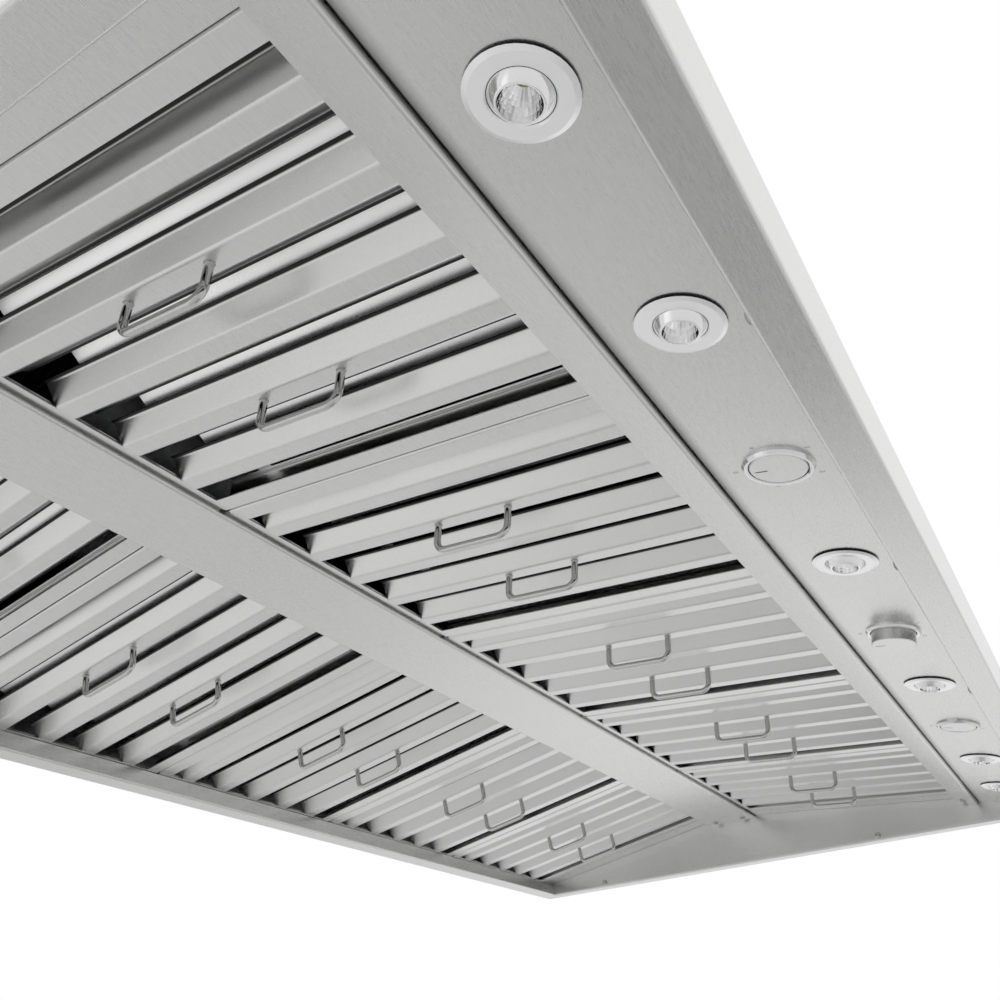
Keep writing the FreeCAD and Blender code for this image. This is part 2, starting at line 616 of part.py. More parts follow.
def knob_pieces():
    """Bezels and switches, then a stem and a cap for each knob."""
    outer, inner = BEZEL_OUTER / 2, BEZEL_INNER / 2
    bezel = [(inner, 0), (outer, 0), (outer, BEZEL_EDGE), (outer - BEZEL_BEVEL, BEZEL_HEIGHT),
             (inner + BEZEL_LIP, BEZEL_HEIGHT), (inner, BEZEL_HEIGHT - BEZEL_LIP)]
    stem_r = STEM_DIAMETER / 2
    inside = KNOB_HOLE / 2 + SWITCH_WALL
    floor = SWITCH_WALL - SWITCH_CUP
    cup = [(inside + SWITCH_WALL, -SHEET), (inside + SWITCH_WALL, -SWITCH_CUP), (stem_r + FIT, -SWITCH_CUP),
           (stem_r + FIT, floor), (inside, floor), (inside, -SHEET)]
    switches, stems, caps = [], [], []
    for number, x in enumerate(strip_items("K"), 1):
        spot = strip_point(x, ITEM_SETBACK)
        spin = FreeCAD.Placement(spot, FreeCAD.Rotation(Vector(1, 0, 0), 180 + math.degrees(STRIP_ANGLE)))
        half = SWITCH_SIZE / 2
        body = block((-half, -half, -SWITCH_CUP - SWITCH_HEIGHT), (half, half, -SWITCH_CUP))
        below = Vector(0, 0, -SWITCH_CUP - SWITCH_HEIGHT - 1)
        body = body.cut(rod(below, Vector(0, 0, 1), STEM_DIAMETER + 2 * FIT, SWITCH_HEIGHT + 2))
        body.Placement = spin
        switches.append(body.fuse(turned(cup, spot, STRIP_OUT)))
        face = BEZEL_HEIGHT - KNOB_SINK + knob_out(number)
        radius = KNOB_DIAMETER / 2
        bore, hub = stem_r + STEM_RUN, HUB_DIAMETER / 2
        end = face - KNOB_WALL - SEAM
        foot = -SWITCH_CUP - SWITCH_HEIGHT + KNOB_POP + knob_out(number)
        stems.append(turned([(0, foot), (stem_r, foot), (stem_r, end), (0, end)], spot, STRIP_OUT))
        skirt = face - KNOB_SKIRT
        under = face - 2 * KNOB_WALL
        cap = [(0, face - KNOB_WALL), (bore, face - KNOB_WALL), (bore, skirt), (hub, skirt), (hub, under),
               (radius - KNOB_WALL, under), (radius - KNOB_WALL, skirt), (radius, skirt),
               (radius, face - KNOB_CHAMFER), (radius - KNOB_CHAMFER, face), (0, face)]
        mark = block((-MARK_WIDTH / 2, MARK_INSET - radius, face - MARK_DEPTH),
                     (MARK_WIDTH / 2, MARK_INSET + MARK_LENGTH - radius, face + 1))
        mark.Placement = spin
        caps.append(turned(cap, spot, STRIP_OUT).cut(mark))
    return on_strip(bezel, "K"), switches, stems, caps


def scroll_outline(grow):
    """The scroll in the yz plane, from the top of the outlet's front wall to its back wall."""
    y, z, top = BLOWER_AXIS_Y, BLOWER_AXIS_Z, HEIGHT - SHEET - SEAM
    front = OUTLET_BACK - OUTLET_DEPTH - grow
    tongue = math.acos((front - y) / (SCROLL_START + grow))

    def spiral(share):
        angle = tongue + (2 * math.pi - tongue) * share
        radius = SCROLL_START + (SCROLL_END - SCROLL_START) * share + grow
        return Vector(0, y + radius * math.cos(angle), z + radius * math.sin(angle))

    curves = [Part.LineSegment(Vector(0, front, top), spiral(0))]
    for index in range(SCROLL_ARCS):
        marks = [spiral((index + part) / SCROLL_ARCS) for part in (0, 0.5, 1)]
        curves.append(Part.Arc(*marks))
    curves.append(Part.LineSegment(spiral(1), Vector(0, OUTLET_BACK + grow, top)))
    return [curve.toShape() for curve in curves]


def blower_housing():
    """The right blower: a scroll wrap between an inlet plate and a motor plate, and its flange."""
    left = BLOWER_X - BLOWER_WIDTH / 2
    right = BLOWER_X + BLOWER_WIDTH / 2
    top = HEIGHT - SHEET - SEAM
    faces = []
    for grow in (0, SHEET):
        edges = scroll_outline(grow)
        ends = [Vector(0, OUTLET_BACK + grow, top), Vector(0, OUTLET_BACK - OUTLET_DEPTH - grow, top)]
        faces.append(Part.Face(Part.Wire(edges + [Part.LineSegment(*ends).toShape()])))
    inside, outside = faces
    wrap = outside.cut(inside).extrude(Vector(BLOWER_WIDTH, 0, 0))
    wrap.translate(Vector(left, 0, 0))
    plates = []
    for start, hole in ((left - SHEET, INLET_DIAMETER), (right, SHAFT_HOLE)):
        plate = outside.extrude(Vector(SHEET, 0, 0))
        plate.translate(Vector(start, 0, 0))
        plates.append(plate.cut(rod(blower_axis(start - 1), Vector(1, 0, 0), hole, SHEET + 2)))
    low = Vector(left - SHEET - SEAM, OUTLET_BACK - OUTLET_DEPTH - SHEET - SEAM, top - SHEET)
    high = Vector(right + SHEET + SEAM, OUTLET_BACK + SHEET + SEAM, top)
    rim = Vector(OUTLET_FLANGE, OUTLET_FLANGE, 0)
    flange = block(low - rim, high + rim).cut(block(low - Vector(0, 0, 1), high + Vector(0, 0, 1)))
    return [wrap] + plates + [flange]


def blower_axis(x):
    return Vector(x, BLOWER_AXIS_Y, BLOWER_AXIS_Z)


def impeller():
    """The right wheel with its shaft: a back plate, forward curved blades and an end ring."""
    back = BLOWER_X + WHEEL_WIDTH / 2
    inlet = BLOWER_X - WHEEL_WIDTH / 2
    outer = WHEEL_DIAMETER / 2
    inner = outer - BLADE_DEPTH
    shaft = SHAFT_DIAMETER / 2
    reach = BLOWER_X + BLOWER_WIDTH / 2 + SHEET + MOTOR_LENGTH / 2 - back
    hub = WHEEL_HUB / 2
    plate = [(0, -HUB_LENGTH), (hub, -HUB_LENGTH), (hub, -WHEEL_PLATE), (outer, -WHEEL_PLATE), (outer, 0),
             (shaft, 0), (shaft, reach), (0, reach)]
    ring = [(inner, 0), (outer, 0), (outer, WHEEL_PLATE), (inner, WHEEL_PLATE)]
    pieces = [turned(ring, blower_axis(inlet), Vector(1, 0, 0))]
    marks = []
    for radius, swing in ((inner, 0), ((inner + outer) / 2, BLADE_BOW), (outer - SEAM, BLADE_SWEEP)):
        angle = math.radians(swing)
        marks.append(Vector(inlet, radius * math.cos(angle), radius * math.sin(angle)))
    shift = Vector(0, 0, BLADE_SHEET)
    far = [mark + shift for mark in marks]
    edges = [Part.Arc(*marks), Part.LineSegment(marks[2], far[2]), Part.Arc(*far[::-1]),
             Part.LineSegment(far[0], marks[0])]
    outline = Part.Wire([edge.toShape() for edge in edges])
    blade = Part.Face(outline).extrude(Vector(WHEEL_WIDTH - WHEEL_PLATE / 2, 0, 0))
    for index in range(WHEEL_BLADES):
        copy = blade.copy()
        copy.rotate(Vector(0, 0, 0), Vector(1, 0, 0), 360 / WHEEL_BLADES * index)
        copy.translate(blower_axis(0))
        pieces.append(copy)
    return turned(plate, blower_axis(back), Vector(1, 0, 0)).fuse(pieces)


def blower_motor():
    """The right motor: a flange against the motor plate, a can and a blind shaft bore."""
    face = BLOWER_X + BLOWER_WIDTH / 2 + SHEET
    bore = SHAFT_DIAMETER / 2 + SHAFT_RUN
    can = MOTOR_DIAMETER / 2
    deep = MOTOR_LENGTH / 2 + FIT
    profile = [(bore, 0), (can + MOTOR_FLANGE, 0), (can + MOTOR_FLANGE, 2 * SHEET), (can, 2 * SHEET),
               (can, MOTOR_LENGTH - MOTOR_FLANGE), (can - MOTOR_FLANGE, MOTOR_LENGTH),
               (0, MOTOR_LENGTH), (0, deep), (bore, deep)]
    return turned(profile, blower_axis(face), Vector(1, 0, 0))


def duct_collar():
    """The right collar: a flanged tube on the top panel and the damper pin across it."""
    outer = COLLAR_DIAMETER / 2
    inner = outer - COLLAR_WALL
    profile = [(inner, 0), (outer + COLLAR_FLANGE, 0), (outer + COLLAR_FLANGE, COLLAR_WALL),
               (outer, COLLAR_WALL), (outer, COLLAR_HEIGHT), (inner, COLLAR_HEIGHT)]
    tube = turned(profile, Vector(BLOWER_X, COLLAR_Y, HEIGHT), Vector(0, 0, 1))
    reach = math.sqrt(inner ** 2 - DAMPER_PIN ** 2 / 4)
    end = Vector(BLOWER_X - reach, COLLAR_Y, HEIGHT + DAMPER_HEIGHT)
    pin = rod(end, Vector(1, 0, 0), DAMPER_PIN, 2 * reach)
    return [tube, pin]


def damper_flap(toward_wall):
    """Half a disc on two knuckles round the damper pin, closed at rest."""
    radius = COLLAR_DIAMETER / 2 - COLLAR_WALL - DAMPER_CLEAR
    edge = KNUCKLE_DIAMETER / 2 + DAMPER_EDGE
    disc = rod(Vector(0, 0, -DAMPER_SHEET / 2), Vector(0, 0, 1), 2 * radius, DAMPER_SHEET)
    flap = disc.common(block((-radius, edge, -1), (radius, radius, 1)))
    for start in KNUCKLE_STARTS:
        barrel = rod(Vector(start, 0, 0), Vector(1, 0, 0), KNUCKLE_DIAMETER, KNUCKLE_LENGTH)
        tab = block((start, 0, -DAMPER_SHEET / 2), (start + KNUCKLE_LENGTH, edge + 1, DAMPER_SHEET / 2))
        flap = flap.fuse([barrel, tab])
    bore = rod(Vector(-radius, 0, 0), Vector(1, 0, 0), DAMPER_PIN + 2 * DAMPER_RUN, 2 * radius)
    flap = flap.cut(bore).removeSplitter()
    if not toward_wall:
        flap.rotate(Vector(0, 0, 0), Vector(0, 0, 1), 180)
    flap.translate(Vector(BLOWER_X, COLLAR_Y, HEIGHT + DAMPER_HEIGHT))
    return flap


def junction_y():
    return DEPTH - JUNCTION_SIZE[1]


def junction_box():
    """An open topped box under the power knockout."""
    width, depth, height = JUNCTION_SIZE
    top = HEIGHT - SHEET - SEAM
    y = junction_y()
    shell = block((-width / 2, y - depth / 2, top - height), (width / 2, y + depth / 2, top))
    inside = block((-width / 2 + SHEET, y - depth / 2 + SHEET, top - height + SHEET),
                   (width / 2 - SHEET, y + depth / 2 - SHEET, top + 1))
    return shell.cut(inside)


def led_driver():
    """The lamp supply under the top panel, with its two fixing ears."""
    width, depth, height = DRIVER_SIZE
    top = HEIGHT - SHEET - SEAM
    y = CANOPY_RUN + depth
    case = block((-width / 2, y - depth / 2, top - height), (width / 2, y + depth / 2, top))
    reach = width / 2 + DRIVER_EAR
    ears = block((-reach, y - depth / 4, top - 2 * SHEET), (reach, y + depth / 4, top))
    return case.fuse(ears).removeSplitter()


def save(name, solids):
    shape = solids if isinstance(solids, Part.Shape) else Part.makeCompound(solids)
    shape = shape.copy()
    shape.translate(ORIGIN * -1)
    shape.exportStep(os.path.join("parts", name + ".step"))


def save_pair(name, solids):
    """A right hand piece and its mirror image on the left."""
    solids = [solids] if isinstance(solids, Part.Shape) else solids
    save("right_" + name, solids)
    save("left_" + name, [mirrored(solid) for solid in solids])


def main():
    os.makedirs("parts", exist_ok=True)
    save("front_panel", front_panel())
    save("back_panel", back_panel())
    save("top_panel", top_panel())
    save_pair("end_panel", end_panel())
    save_pair("end_liner", end_liner())
    save("control_panel", control_panel())
    save("front_rail", front_rail())
    save("center_rail", center_rail())
    save("rear_gutter", rear_gutter())
    save("end_fillers", end_fillers())
    save("screws", screws())
    for name, solids in zip(("trims", "reflectors", "emitters", "cans"), lamp_pieces()):
        save("lamp_" + name, solids)
    bezels, switches, stems, caps = knob_pieces()
    save("knob_bezels", bezels)
    save("rotary_switches", switches)
    for number, (stem, cap) in enumerate(zip(stems, caps), 1):
        save("knob_%d_stem" % number, stem)
        save("knob_%d_cap" % number, cap)
    body = filter_body()
    first = -(BAFFLE_COUNT - 1) / 2 * BAFFLE_PITCH
    handles = [handle(first + BAFFLE_PITCH), handle(-first - BAFFLE_PITCH)]
    for row in ("front", "rear"):
        for number in range(FILTER_COUNT):
            x = (number - (FILTER_COUNT - 1) / 2) * FILTER_PITCH
            name = "filter_%s_%d" % (row, number + 1)
            save(name, [on_bed(solid, row, x) for solid in body])
            save(name + "_handles", [on_bed(solid, row, x) for solid in handles])
    save_pair("blower_housing", blower_housing())
    save_pair("blower_motor", blower_motor())
    save_pair("impeller", impeller())
    save_pair("duct_collar", duct_collar())
    save_pair("damper_rear", damper_flap(True))
    save_pair("damper_front", damper_flap(False))
    save("junction_box", junction_box())
    save("led_driver", led_driver())


main()
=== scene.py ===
import bpy
import bmesh
import json
import math
from mathutils import Matrix, Vector


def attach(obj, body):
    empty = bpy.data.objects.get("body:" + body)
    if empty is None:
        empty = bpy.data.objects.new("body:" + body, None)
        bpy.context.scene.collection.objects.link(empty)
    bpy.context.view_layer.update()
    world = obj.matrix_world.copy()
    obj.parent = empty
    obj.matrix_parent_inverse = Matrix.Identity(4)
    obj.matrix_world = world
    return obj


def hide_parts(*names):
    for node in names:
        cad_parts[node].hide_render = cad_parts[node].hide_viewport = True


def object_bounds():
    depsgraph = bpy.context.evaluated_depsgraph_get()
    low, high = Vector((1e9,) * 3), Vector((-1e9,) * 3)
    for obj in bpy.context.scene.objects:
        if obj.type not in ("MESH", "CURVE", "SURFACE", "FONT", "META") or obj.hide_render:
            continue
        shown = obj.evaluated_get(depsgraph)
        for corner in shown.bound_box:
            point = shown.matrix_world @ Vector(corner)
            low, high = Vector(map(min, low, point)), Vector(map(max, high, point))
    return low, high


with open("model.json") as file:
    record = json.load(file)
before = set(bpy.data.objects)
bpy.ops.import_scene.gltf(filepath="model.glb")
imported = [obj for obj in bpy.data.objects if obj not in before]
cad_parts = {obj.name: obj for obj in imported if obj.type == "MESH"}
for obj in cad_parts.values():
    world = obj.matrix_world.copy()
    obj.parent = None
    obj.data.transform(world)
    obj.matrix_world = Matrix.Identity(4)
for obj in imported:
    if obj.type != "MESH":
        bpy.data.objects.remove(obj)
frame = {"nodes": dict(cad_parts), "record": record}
cadBox = [list(corner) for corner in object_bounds()]
record = frame["record"]
nodes = frame["nodes"]
slotOf = {part["node"]: part["material_slot"] for part in record["subparts"]}
jointOf = {joint["name"]: joint for joint in record["behaviour"]["joints"]}
mm = 0.001
sideways = Vector((1, 0, 0))  # along the hood's width

# the knob joints give the control strip's slope and the pitch of its lamps and knobs
knobSpots = [Vector(jointOf["knob_%d_turn" % number]["pos_m"]) for number in (1, 2, 3)]
stripOut = Vector(jointOf["knob_1_turn"]["axis"])
stripPitch = (knobSpots[2].x - knobSpots[1].x) / 2
rearward = stripOut.cross(sideways) * -1

# a filter's own axes: along its slope towards the wall, and up through its two layers
def filterAxes(name):
    along = Vector(jointOf[name + "_slide"]["axis"])
    along = along if along.y > 0 else -along
    return along, sideways.cross(along)

print("hood loaded:", len(nodes), "nodes")


# camera below the front left corner, solved from the rim, rails and lamps
cameraSet = {
    "place": (-0.8359, -0.8716, -0.6492),
    "right": (0.52755, -0.84775, -0.05488),
    "up": (-0.42972, -0.32202, 0.84359),
    "lens": 34.643,
    "sensor": 36.0,
    "nearest": 0.01,
}

def placeCamera(settings):
    data = bpy.data.cameras.new("photoCamera")
    data.sensor_width = settings["sensor"]
    data.lens = settings["lens"]
    data.clip_start = settings["nearest"]
    camera = bpy.data.objects.new("photoCamera", data)
    bpy.context.scene.collection.objects.link(camera)
    right = Vector(settings["right"]).normalized()
    up = Vector(settings["up"])
    up = (up - right * up.dot(right)).normalized()
    turn = Matrix((right, up, right.cross(up))).transposed().to_4x4()
    camera.matrix_world = Matrix.Translation(settings["place"]) @ turn
    bpy.context.scene.camera = camera

placeCamera(cameraSet)
print("camera placed")


# helpers that lay out a material's nodes
class Paint:
    def __init__(self, name):
        self.material = bpy.data.materials.new(name)
        self.material.use_nodes = True
        self.tree = self.material.node_tree
        self.body = self.tree.nodes["Principled BSDF"]
        self.place = self.node("ShaderNodeTexCoord").outputs["Object"]

    def node(self, kind, **values):
        made = self.tree.nodes.new(kind)
        for key, value in values.items():
            setattr(made, key, value)
        return made

    def join(self, source, target):
        self.tree.links.new(source, target)

    def noise(self, scale, detail, stretch=(1.0, 1.0, 1.0)):
        fit = self.node("ShaderNodeMapping")
        fit.inputs["Scale"].default_value = stretch
        self.join(self.place, fit.inputs["Vector"])
        made = self.node("ShaderNodeTexNoise")
        made.inputs["Scale"].default_value = scale
        made.inputs["Detail"].default_value = detail
        self.join(fit.outputs["Vector"], made.inputs["Vector"])
        return made.outputs["Fac"]

    def spread(self, source, low, high, start=0.25, end=0.75):  # noise lies mostly in this range
        made = self.node("ShaderNodeMapRange")
        made.inputs["From Min"].default_value = start
        made.inputs["From Max"].default_value = end
        made.inputs["To Min"].default_value = low
        made.inputs["To Max"].default_value = high
        self.join(source, made.inputs["Value"])
        return made.outputs["Result"]

    def sum(self, first, second, operation="ADD"):
        made = self.node("ShaderNodeMath", operation=operation)
        for index, source in enumerate((first, second)):
            if isinstance(source, float):
                made.inputs[index].default_value = source
            else:
                self.join(source, made.inputs[index])
        return made.outputs["Value"]

    def dot(self, source, direction):
        made = self.node("ShaderNodeVectorMath", operation="DOT_PRODUCT")
        made.inputs[1].default_value = direction
        self.join(source, made.inputs[0])
        return made.outputs["Value"]

    def blend(self, share, first, second):
        made = self.node("ShaderNodeMix", data_type="RGBA")
        self.join(share, made.inputs["Factor"])
        for index, source in ((6, first), (7, second)):  # the two colour inputs
            if isinstance(source, tuple):
                made.inputs[index].default_value = (*source, 1.0)
            else:
                self.join(source, made.inputs[index])
        return made.outputs[2]  # the colour output

    def bump(self, height, strength, distance):
        made = self.node("ShaderNodeBump")
        made.inputs["Strength"].default_value = strength
        made.inputs["Distance"].default_value = distance
        self.join(height, made.inputs["Height"])
        self.join(made.outputs["Normal"], self.body.inputs["Normal"])


# painted shade: faces that look into the plenum above the filters are painted near black, standing
# in for the shade inside the canopy
plenumShadeSet = {"middle": (0.0, -0.35, 0.0), "floor": -0.228, "fade": 0.004, "rough": 0.4}

def plenumShadeShare(paint):
    seen = paint.node("ShaderNodeNewGeometry")
    inward = paint.node("ShaderNodeVectorMath", operation="SUBTRACT")
    inward.inputs[0].default_value = plenumShadeSet["middle"]
    paint.join(seen.outputs["Position"], inward.inputs[1])
    facing = paint.node("ShaderNodeVectorMath", operation="DOT_PRODUCT")
    paint.join(inward.outputs["Vector"], facing.inputs[0])
    paint.join(seen.outputs["Normal"], facing.inputs[1])
    turned = paint.sum(facing.outputs["Value"], 0.0, "GREATER_THAN")
    split = paint.node("ShaderNodeSeparateXYZ")
    paint.join(seen.outputs["Position"], split.inputs["Vector"])
    level = plenumShadeSet["floor"]
    above = paint.spread(split.outputs["Z"], 0.0, 1.0, level, level + plenumShadeSet["fade"])
    return paint.sum(turned, above, "MULTIPLY")


# painted shade: a dark band along the strip's rear edge, above the front rail, stands in for the
# shading of its bend
foldShadeSet = {"width": 13.0, "color": (0.16, 0.16, 0.158)}

def foldShadeShare(paint):
    spot = knobSpots[1]
    corners = nodes["control_panel"].data.vertices
    edge = max((corner.co - spot).dot(rearward) for corner in corners) + spot.dot(rearward)
    start = edge - foldShadeSet["width"] * mm
    return paint.spread(paint.dot(paint.place, rearward), 0.0, 1.0, start, edge)


# painted shade: a dark band at the turned lips between a filter's two layers; painted highlight:
# the top layer is made brighter
lipShadeSet = {
    "start": 11.7,  # heights above the filter's flats
    "full": 11.95,
    "end": 13.6,
    "clear": 14.2,
    "color": (0.04, 0.04, 0.039),
    "rough": 0.2,
    "upper": (0.92, 0.92, 0.915),
}

def lipShadeShare(paint, row):
    first = "filter_%s_1" % row
    along, up = filterAxes(first)
    flats = min(corner.co.dot(up) for corner in nodes[first].data.vertices)
    heights = [flats + lipShadeSet[key] * mm for key in ("start", "full", "end", "clear")]
    start, full, end, clear = heights
    rise = paint.dot(paint.place, up)
    over = paint.spread(rise, 0.0, 1.0, start, full)
    under = paint.spread(rise, 1.0, 0.0, end, clear)
    upper = paint.spread(rise, 0.0, 1.0, end, clear)
    return paint.sum(over, under, "MULTIPLY"), upper


# brushed metal: long fine grain, cloudy tone, a few dull wiped patches
grainSet = {
    "detail": 2.0,
    "cloudDetail": 3.0,
    "fineTone": 0.6,
    "broadTone": 0.15,
    "cloudTone": 0.25,
    "broadBump": 0.2,
    "bumpDepth": 0.02,
}

def brushedMetal(name, settings):
    paint = Paint(name)
    body = paint.body
    body.inputs["Metallic"].default_value = 1.0
    body.inputs["Anisotropic"].default_value = settings["stretch"]
    fine = paint.noise(1.0, grainSet["detail"], settings["fineGrain"])
    broad = paint.noise(1.0, grainSet["detail"], settings["broadGrain"])
    cloud = paint.noise(settings["cloudScale"], grainSet["cloudDetail"])
    patchy = paint.sum(paint.spread(broad, 0.0, grainSet["broadTone"]),
                       paint.spread(cloud, 0.0, grainSet["cloudTone"]))
    tone = paint.sum(paint.spread(fine, 0.0, grainSet["fineTone"]), patchy)
    color = paint.blend(tone, *settings["colors"])
    rough = paint.sum(paint.spread(fine, *settings["rough"]),
                      paint.spread(cloud, 0.0, settings["wiped"]))
    # painted shade: near black on the faces inside the plenum
    if settings.get("plenumShade"):
        inside = plenumShadeShare(paint)
        color = paint.blend(inside, color, settings["plenumShade"])
        rough = paint.sum(rough, paint.sum(inside, plenumShadeSet["rough"], "MULTIPLY"))
    # painted shade along the strip's rear edge
    if settings.get("foldShade"):
        color = paint.blend(foldShadeShare(paint), color, foldShadeSet["color"])
    # painted shade at the filter lips, and a painted highlight on the top layer
    if settings.get("row"):
        lipShade, upper = lipShadeShare(paint, settings["row"])
        color = paint.blend(upper, color, lipShadeSet["upper"])
        color = paint.blend(lipShade, color, lipShadeSet["color"])
        rough = paint.sum(rough, paint.sum(lipShade, lipShadeSet["rough"], "MULTIPLY"))
    paint.join(color, body.inputs["Base Color"])
    paint.join(rough, body.inputs["Roughness"])
    around = paint.node("ShaderNodeTangent", direction_type="RADIAL", axis=settings["grainAxis"])
    paint.join(around.outputs["Tangent"], body.inputs["Tangent"])
    height = paint.sum(fine, paint.sum(broad, grainSet["broadBump"], "MULTIPLY"))
    paint.bump(height, settings["bump"], grainSet["bumpDepth"] * mm)
    return paint.material


# zinc coating: angular crystals of slightly different tone
zincSet = {
    "metallic": 0.85,
    "flake": 160.0,
    "cloudScale": 9.0,
    "cloudDetail": 4.0,
    "flakeTone": 0.6,
    "cloudTone": 0.4,
    "colors": ((0.30, 0.31, 0.32), (0.50, 0.51, 0.52)),
    "rough": (0.32, 0.5),
    "bump": 0.15,
    "bumpDepth": 0.05,
}

def zincCoat(name, settings):
    paint = Paint(name)
    paint.body.inputs["Metallic"].default_value = settings["metallic"]
    flake = paint.node("ShaderNodeTexVoronoi")
    flake.inputs["Scale"].default_value = settings["flake"]
    paint.join(paint.place, flake.inputs["Vector"])
    split = paint.node("ShaderNodeSeparateColor")
    paint.join(flake.outputs["Color"], split.inputs["Color"])
    cloud = paint.noise(settings["cloudScale"], settings["cloudDetail"])
    tone = paint.sum(paint.spread(split.outputs["Red"], 0.0, settings["flakeTone"], 0.0, 1.0),
                     paint.spread(cloud, 0.0, settings["cloudTone"]))
    rough = paint.spread(tone, *settings["rough"], 0.0, 1.0)
    paint.join(paint.blend(tone, *settings["colors"]), paint.body.inputs["Base Color"])
    paint.join(rough, paint.body.inputs["Roughness"])
    paint.bump(cloud, settings["bump"], settings["bumpDepth"] * mm)
    return paint.material


# paint, plastic and cast surfaces: fine pebble with soft dust and rubbed patches
mouldSet = {
    "pebbleDetail": 3.0,
    "dustScale": 14.0,
    "dustDetail": 4.0,
    "pebbleTone": 0.4,
    "dustTone": 0.6,
    "upright": (0.25, 0.35),  # how far a face may look out of the strip and still count as upright
    "bumpDepth": 0.08,
}

def mouldedCoat(name, settings):
    paint = Paint(name)
    paint.body.inputs["Metallic"].default_value = settings.get("metallic", 0.0)
    pebble = paint.noise(settings["pebble"], mouldSet["pebbleDetail"])
    dust = paint.noise(mouldSet["dustScale"], mouldSet["dustDetail"])
    tone = paint.sum(paint.spread(pebble, 0.0, mouldSet["pebbleTone"]),
                     paint.spread(dust, 0.0, mouldSet["dustTone"]))
    color = paint.blend(tone, *settings["colors"])
    if settings.get("gapShade"):  # painted shade: the upright faces are darkened as the shadow gap round the trim
        seen = paint.node("ShaderNodeNewGeometry")
        facing = paint.sum(paint.dot(seen.outputs["True Normal"], stripOut), 0.0, "MAXIMUM")
        upright = paint.spread(facing, 1.0, 0.0, *mouldSet["upright"])
        color = paint.blend(upright, color, settings["gapShade"])
    paint.join(color, paint.body.inputs["Base Color"])
    paint.join(paint.spread(dust, *settings["rough"]), paint.body.inputs["Roughness"])
    paint.bump(pebble, settings["bump"], mouldSet["bumpDepth"] * mm)
    return paint.material


# studio: white surroundings, a pale floor with a painted shadow under the hood
# and painted pools of light to either side, and screens out of view that the steel mirrors
studioSet = {
    "sky": (1.0, 1.0, 1.0),
    "skyStrength": 1.0,
    "floorDrop": 0.95,
    "floorSize": 14.0,
    "floorColors": ((0.71, 0.71, 0.71), (0.73, 0.73, 0.73)),
    "floorScale": 3.0,
    "floorDetail": 2.0,
    "floorRough": 0.8,
    # painted light on the floor: the first patch is a painted shadow under the hood, the other two
    # are painted pools of light
    "paintedPools": (
        {"middle": (0.35, -0.70), "half": (0.60, 0.22), "fade": 0.25, "color": (0.48, 0.48, 0.48)},
        {"middle": (-2.0, 0.75), "half": (0.75, 0.40), "fade": 0.6, "color": (0.95, 0.95, 0.95)},
        {"middle": (3.0, 0.20), "half": (1.0, 1.1), "fade": 0.6, "color": (0.95, 0.95, 0.95)},
    ),
    "cloth": {"pebble": 900.0, "rough": (0.8, 0.9), "bump": 0.1},
    "screens": {
        "frontScreen": {
            "corners": ((-3.0, -0.9, -1.29), (-0.4, -3.4, -1.29),
                        (-0.4, -3.4, 0.3), (-3.0, -0.9, 0.3)),
            "colors": ((0.05, 0.05, 0.05), (0.07, 0.07, 0.07)),
        },
        "rearScreen": {
            "corners": ((4.0, 6.0, -1.29), (-6.0, 6.0, -1.29), (-6.0, 6.0, 1.2), (4.0, 6.0, 1.2)),
            "colors": ((0.28, 0.28, 0.28), (0.32, 0.32, 0.32)),
        },
        "topScreen": {
            "corners": ((-1.6, -0.8, 2.4), (1.2, -0.8, 2.4), (1.2, 0.5, 2.4), (-1.6, 0.5, 2.4)),
            "colors": ((0.28, 0.28, 0.28), (0.32, 0.32, 0.32)),
        },
    },
}

def stagedPlane(name, corners, material):
    mesh = bpy.data.meshes.new(name)
    mesh.from_pydata(corners, [], [(0, 1, 2, 3)])
    mesh.materials.append(material)
    plane = bpy.data.objects.new(name, mesh)
    bpy.context.scene.collection.objects.link(plane)
    return plane

def floorCoat(settings):
    paint = Paint("floorPaint")
    split = paint.node("ShaderNodeSeparateXYZ")
    paint.join(paint.place, split.inputs["Vector"])
    cloud = paint.noise(settings["floorScale"], settings["floorDetail"])
    color = paint.blend(cloud, *settings["floorColors"])
    # soft-edged patches of painted shadow and painted light
    for pool in settings["paintedPools"]:
        shares = []
        for axis, middle, half in zip("XY", pool["middle"], pool["half"]):
            away = paint.sum(paint.sum(split.outputs[axis], -middle), 0.0, "ABSOLUTE")
            shares.append(paint.spread(away, 1.0, 0.0, half, half + pool["fade"]))
        color = paint.blend(paint.sum(*shares, "MULTIPLY"), color, pool["color"])
    paint.join(color, paint.body.inputs["Base Color"])
    paint.body.inputs["Roughness"].default_value = settings["floorRough"]
    # seen from underneath, the floor lets the view through
    mixed = paint.node("ShaderNodeMixShader")
    paint.join(paint.node("ShaderNodeNewGeometry").outputs["Backfacing"], mixed.inputs["Fac"])
    paint.join(paint.body.outputs["BSDF"], mixed.inputs[1])
    paint.join(paint.node("ShaderNodeBsdfTransparent").outputs["BSDF"], mixed.inputs[2])
    paint.join(mixed.outputs["Shader"], paint.tree.nodes["Material Output"].inputs["Surface"])
    return paint.material

